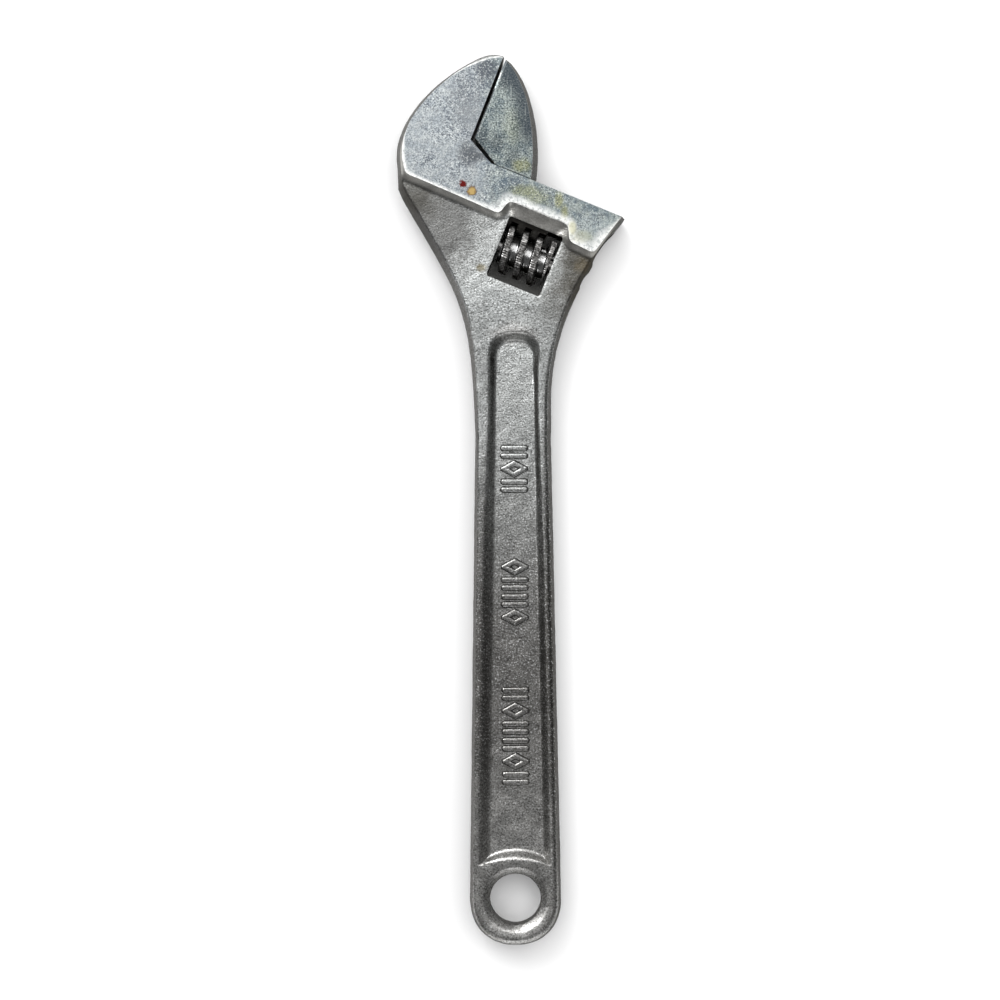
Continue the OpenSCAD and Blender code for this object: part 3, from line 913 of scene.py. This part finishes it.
def ground_material():
    """Ground face: bluish silver with mottling, discoloured spots, dark smudges and a lip that is partly
    burnished and partly painted highlight.
    """
    m = Shader("ground_steel")
    mottle = m.noise(3.0, 4.0, 0.65)
    jaw_side = m.mix(m.ramp(mottle, 0.35, 0.65), (0.285, 0.315, 0.335), (0.37, 0.395, 0.40))
    boss_side = m.mix(m.ramp(mottle, 0.38, 0.6), (0.158, 0.2, 0.222), (0.313, 0.351, 0.336))
    colour = m.mix(m.ramp(m.axis("X"), -0.013, -0.004), jaw_side, boss_side)
    smudge, shade = (0.05, 0.055, 0.062), (0.13, 0.14, 0.15)
    colour = lay_discolouring_and_painted_light(m, colour, (((-14.6, 254.0, 8.8), 4.6, (0.9, 1.1, 1), 0.75, smudge),
                                 ((-10.5, 253.2, 8.8), 2.6, (1.6, 0.7, 1), 0.7, smudge),
                                 ((-8.2, 282.5, 8.8), 5.0, (1.0, 1.1, 1), 0.75, smudge),
                                 ((-1.0, 243.4, 8.8), 4.6, (1.3, 0.8, 1), 0.5, (0.07, 0.10, 0.13)),
                                 ((-15.0, 271.0, 8.8), 9.0, (0.8, 1.3, 1), 0.5, shade)), size=1.4)
    yellow = (0.30, 0.31, 0.15)
    pale = (0.42, 0.47, 0.47)
    colour = lay_discolouring_and_painted_light(m, colour, (((28.0, 228.5, 8.8), 6.5, (1.3, 0.8, 1), 0.6, pale),
                                 ((4.4, 241.3, 8.8), 3.4, (1.6, 0.7, 1), 0.6, yellow),
                                 ((9.0, 238.8, 8.8), 3.5, (1.5, 0.8, 1), 0.45, yellow),
                                 ((15.9, 238.0, 8.8), 2.0, (0.8, 1.6, 1), 0.8, yellow),
                                 ((17.8, 233.6, 8.8), 2.0, (0.8, 1.6, 1), 0.8, yellow)))
    grain = m.noise(0.5, 2.0, 0.75)
    harsh = m.ramp(m.noise(9, 2.0, shift=6.0), 0.38, 0.62, 0.55, 1.0)
    dark_grain = m.maths("MULTIPLY", m.ramp(grain, 0.53, 0.36), harsh)
    pale_grain = m.maths("MULTIPLY", m.ramp(grain, 0.54, 0.72, 0.0, 0.65), harsh)
    colour = m.mix(dark_grain, colour, (0.08, 0.09, 0.11))
    colour = m.mix(pale_grain, colour, (0.85, 0.88, 0.88))
    # Partly burnished wear, partly painted highlight: a bright ragged band along the ground face's edges,
    # for light caught on the rounded edge
    rim = m.measure("rim")
    ragged = m.maths("ADD", m.noise(3.5, 3.0, 0.7, shift=9.0), m.maths("MULTIPLY", grain, 0.5))
    lip = m.ramp(m.maths("ADD", rim, m.maths("MULTIPLY", ragged, 3.2)), 7.2, 2.0)
    lip = m.maths("MULTIPLY", lip, m.ramp(m.noise(1.1, 2.0, 0.7, shift=3.0), 0.34, 0.56, 0.5, 1.0))
    colour = m.mix(lip, colour, (0.93, 0.935, 0.91))
    colour = lay_discolouring_and_painted_light(m, colour, (((20.4, 228.6, 8.8), 1.7, (0.9, 1.6, 1), 0.6, (0.62, 0.6, 0.38)),
                                 ((23.5, 225.6, 8.8), 3.0, (1.4, 0.8, 1), 0.35, (0.55, 0.54, 0.36))))
    # A rust spot with a pale middle, and a dark red one beside it
    spot, red_spot = (-13.6, 241.3, 8.8), (-16.6, 243.7, 8.8)
    colour = m.mix(m.near(spot, 1.9, ragged=0.6, size=0.9, soft=0.3), colour, (0.07, 0.028, 0.012))
    colour = m.mix(m.near(spot, 1.45, ragged=0.6, size=0.9, soft=0.3), colour, (0.42, 0.30, 0.12))
    colour = m.mix(m.near(red_spot, 1.5, ragged=0.7, size=0.8, soft=0.3), colour, (0.11, 0.013, 0.012))
    scratches = m.noise(0.6, 2.0, 0.6, stretch=(1, 9, 1))
    fine = m.bump(grain, 0.018, under=m.bump(scratches, 0.01))
    return m.finish(colour, m.ramp(mottle, 0.3, 0.7, 0.30, 0.42), fine)


def jaw_ground_material():
    """The movable jaw's ground face: greener and darker towards its back edge and tip."""
    m = Shader("jaw_ground_steel")
    mottle = m.noise(3.2, 4.0, 0.65, shift=5.0)
    colour = m.mix(m.ramp(mottle, 0.36, 0.62), (0.128, 0.16, 0.172), (0.273, 0.31, 0.296))
    rim = m.measure("rim")
    back = m.maths("MULTIPLY", m.ramp(rim, 7.5, 1.0), m.ramp(m.axis("Y"), 0.253, 0.262))
    dark = (0.05, 0.062, 0.07)
    green = (0.24, 0.25, 0.12)
    colour = lay_discolouring_and_painted_light(m, colour, (((-1.5, 279.5, 8.8), 5.0, (1, 1, 1), 0.7, dark),
                                 ((-10.6, 259.5, 8.8), 4.4, (0.8, 1.3, 1), 0.65, dark),
                                 ((-5.2, 257.5, 8.8), 3.2, (0.9, 1.2, 1), 0.6, dark),
                                 ((0.3, 252.2, 8.8), 3.2, (1.0, 1.2, 1), 0.5, dark),
                                 ((3.4, 249.8, 8.8), 3.0, (1.2, 0.9, 1), 0.7, green),
                                 ((0.5, 263.0, 8.8), 5.0, (0.7, 1.4, 1), 0.25, green)), size=1.6)
    grain = m.noise(0.55, 2.0, 0.75)
    colour = m.mix(m.maths("MULTIPLY", back, 0.9), colour, (0.055, 0.066, 0.076))
    colour = m.mix(m.ramp(grain, 0.53, 0.35, 0.0, 0.9), colour, (0.03, 0.037, 0.044))
    pale_grain = m.maths("MULTIPLY", m.ramp(grain, 0.55, 0.72, 0.0, 0.65), m.ramp(back, 0.0, 1.0, 1.0, 0.3))
    colour = m.mix(pale_grain, colour, (0.7, 0.74, 0.72))
    streaks = m.noise(1.3, 3.0, 0.6, stretch=(0.8, 9, 1), shift=2.0)
    colour = m.mix(m.ramp(streaks, 0.58, 0.75, 0.0, 0.35), colour, (0.5, 0.54, 0.52))
    # Painted highlight: a thin bright line along the ground side's edge at the jaw's face and foot, for key
    # light caught on that rounded edge
    edge = m.measure("edge")
    bright = m.maths("MULTIPLY", m.ramp(edge, 0.8, 0.55), m.ramp(edge, 0.2, 0.42))
    bright = m.maths("MULTIPLY", bright, m.ramp(m.noise(7, 2.0, shift=4.0), 0.42, 0.56, 0.0, 0.12))
    colour = m.mix(bright, colour, (0.9, 0.92, 0.9))
    fine = m.bump(grain, 0.02, under=m.bump(streaks, 0.02))
    return m.finish(colour, m.ramp(mottle, 0.3, 0.7, 0.28, 0.42), fine)


def machined_material():
    """Very dark walls of the window, the bore and the slot, with rust at one side."""
    m = Shader("dark_machined_steel")
    colour = m.mix(m.noise(1.6, 3.0), (0.03, 0.029, 0.027), (0.085, 0.081, 0.074))
    rust = m.near((15.8, 212.5, 5.5), 4.5, size=1.2, stretch=(1, 1.6, 1))
    colour = m.mix(m.maths("MULTIPLY", rust, 0.8), colour, (0.22, 0.09, 0.03))
    fine = m.bump(m.noise(0.7, 2.0), 0.05)
    return m.finish(colour, m.ramp(m.noise(2.2, 2.0), 0.3, 0.7, 0.32, 0.55), fine)


def screw_material():
    """Adjusting screw: streaked, darker crests, patches of grime and a polished thread root."""
    m = Shader("screw_steel")
    crest = m.ramp(m.measure("crest"), 0.15, 0.75)
    streak = m.noise(0.7, 2.0, 0.6)
    bright = m.mix(m.ramp(streak, 0.4, 0.7), (0.17, 0.165, 0.16), (0.62, 0.61, 0.6))
    colour = m.mix(crest, (0.52, 0.52, 0.52), bright)
    grime = m.ramp(m.noise(1.7, 3.0, 0.6), 0.48, 0.66, 0.0, 0.8)
    colour = m.mix(grime, colour, (0.04, 0.038, 0.035))
    fine = m.bump(streak, 0.05)
    return m.finish(colour, m.ramp(crest, 0.0, 1.0, 0.2, 0.33), fine)


def plain_steel(name, light, dark, roughness):
    """Turned or drawn steel with slight variation, for the pin and the spring."""
    m = Shader(name)
    colour = m.mix(m.noise(1.5, 3.0), light, dark)
    fine = m.bump(m.noise(0.4, 1.0, stretch=(6, 1, 1)), 0.01)
    return m.finish(colour, m.ramp(m.noise(2.5, 2.0), 0.3, 0.7, roughness, roughness + 0.12), fine)


# ---------------------------------------------------------------- pieces
def build_pieces():
    """Makes every piece, with its finish on each face."""
    body = add_piece("body_forging", *make_body(), "wrench_body", "wrench_body")
    marks = add_piece("raised_marks", *make_marks(), "wrench_body", "wrench_body")
    jaw = add_piece("jaw_forging", *make_jaw(), "movable_jaw", "movable_jaw")
    screw = add_piece("knurled_screw", *make_screw(), "adjusting_screw", "adjusting_screw")
    pin = add_piece("slotted_pin", *make_pin(), "screw_pin", "wrench_body")
    spring = add_piece("coil_spring", *make_spring(), "screw_spring", "wrench_body", crease=80)
    forged = forged_material()
    machined = machined_material()
    turned = plain_steel("pin_steel", (0.5, 0.5, 0.49), (0.36, 0.35, 0.34), 0.25)
    wire = plain_steel("spring_steel", (0.42, 0.42, 0.43), (0.3, 0.3, 0.3), 0.28)
    finishes = ((body, "forged_steel", (forged, ground_material(), machined)),
                (marks, "forged_steel", (forged,)),
                (jaw, "ground_steel", (forged, jaw_ground_material(), machined)),
                (screw, "screw_steel", (screw_material(),)),
                (pin, "pin_steel", (turned,)),
                (spring, "spring_steel", (wire,)))
    for piece, slot, materials in finishes:
        for material in materials:
            piece.data.materials.append(material)
        print(piece.name, len(piece.data.vertices), "vertices", len(piece.data.polygons), "faces")
    for piece in (body, marks, jaw):
        set_flank(piece)
    set_finish(body, body_finish)
    set_measure(body, "rim", body_rim)
    set_measure(body, "boss", body_boss)
    set_measure(body, "inset", body_inset)
    set_finish(jaw, jaw_finish)
    set_measure(jaw, "rim", jaw_rim)
    set_measure(jaw, "edge", jaw_edge)
    set_measure(screw, "crest", screw_crest)


build_pieces()


# ---------------------------------------------------------------- camera, light and floor
def make_camera():
    """Straight above the wrench, as far as a hand-held camera would be."""
    data = bpy.data.cameras.new("camera")
    data.sensor_width = 36
    distance = 0.95
    view_width = 0.3427      # at the parting plane
    data.lens = data.sensor_width * distance / view_width
    camera = bpy.data.objects.new("camera", data)
    camera.location = (-0.0046, 0.1363, distance)
    camera.rotation_euler = (0, 0, math.radians(-0.3))
    bpy.context.scene.collection.objects.link(camera)
    bpy.context.scene.camera = camera


def make_floor():
    """Pale floor under the lower ground face, with painted shade under the window."""
    mesh = bpy.data.meshes.new("floor")
    half = 3.0
    z = cad_box[0][2]
    corners = [(-half, -half, z), (half, -half, z), (half, half, z), (-half, half, z)]
    mesh.from_pydata(corners, [], [(0, 1, 2, 3)])
    floor = bpy.data.objects.new("floor", mesh)
    bpy.context.scene.collection.objects.link(floor)
    paper = Shader("floor", metallic=0.0)
    pale, dark = (0.15, 0.15, 0.15), (0.04, 0.04, 0.038)
    # Painted shade: the floor's colour is dark right under the window, for the deep shade inside the head
    under_window = from_head(SCREW_U, WINDOW_TOP_V - WINDOW_H / 2)
    shade = paper.near((*under_window, z / MM), 20.0, ragged=0.0, soft=0.1)
    floor.data.materials.append(paper.finish(paper.mix(shade, pale, dark), 0.9))
    return floor


def add_light(name, place, target, size, power):
    """A white rectangular light that faces its target."""
    data = bpy.data.lights.new(name, "AREA")
    data.shape = "RECTANGLE"
    data.size, data.size_y = size
    data.energy = power
    light = bpy.data.objects.new(name, data)
    light.location = place
    light.rotation_euler = (Vector(target) - Vector(place)).to_track_quat("-Z", "Y").to_euler()
    bpy.context.scene.collection.objects.link(light)
    return light


def make_light(floor):
    """A key from the upper left, two soft fills, a dim room, and a sky that lights only the floor."""
    sky = add_light("sky", (1.1, 1.8, 2.4), (1.1, 1.8, 0.0), (6.4, 6.4), 1285)
    lit = bpy.data.collections.new("lit_by_sky")
    lit.objects.link(floor)
    sky.light_linking.receiver_collection = lit
    centre = (0, 0.14, 0)
    add_light("key", (-0.6, 0.95, 0.95), centre, (0.8, 0.8), 22)
    add_light("overhead", (0.0, 0.85, 1.15), (0.0, 0.85, 0), (1.3, 1.1), 7.0)
    add_light("front", (0.1, -1.3, 0.55), centre, (1.2, 0.7), 4.0)
    world = bpy.data.worlds.new("room")
    world.use_nodes = True
    world.node_tree.nodes["Background"].inputs["Color"].default_value = (1, 1, 1, 1)
    world.node_tree.nodes["Background"].inputs["Strength"].default_value = 0.12
    bpy.context.scene.world = world
    bpy.context.scene.view_settings.view_transform = "Standard"


make_camera()
make_light(make_floor())
